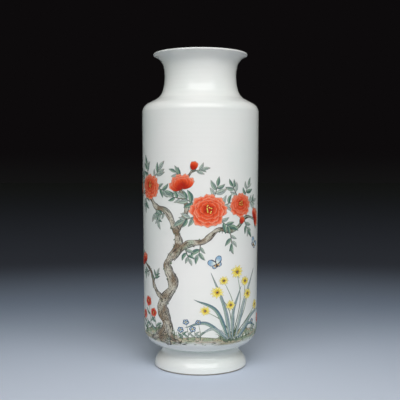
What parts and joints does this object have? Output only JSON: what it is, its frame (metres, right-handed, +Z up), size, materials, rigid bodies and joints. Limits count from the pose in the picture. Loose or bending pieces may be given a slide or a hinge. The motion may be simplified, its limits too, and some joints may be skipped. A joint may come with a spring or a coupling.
{
  "type": "rouleau vase",
  "caption": "Tall white porcelain rouleau vase with a waisted neck, everted mouth and splayed foot, luted from turned sections, glazed and painted with flowers in enamels.",
  "frame": {"origin": "middle of the foot rim, on the surface that the vase stands on", "axes": "+Z up along the axis on which the vase was turned; -Y towards the painted front"},
  "size_m": [0.1084, 0.1084, 0.29],
  "materials": {
    "porcelain_clay": "matte",
    "luting_slip": "matte",
    "clear_glaze": "gloss",
    "overglaze_enamel": "satin"
  },
  "bodies": {
    "root": {"foot_ring": "porcelain_clay", "foot_slip": "luting_slip", "lower_body": "porcelain_clay", "body_slip": "luting_slip", "upper_body": "porcelain_clay", "shoulder_slip": "luting_slip", "shoulder": "porcelain_clay", "neck_slip": "luting_slip", "neck": "porcelain_clay", "outer_glaze": "clear_glaze", "inner_glaze": "clear_glaze", "base_glaze": "clear_glaze"}
  },
  "joints": []
}
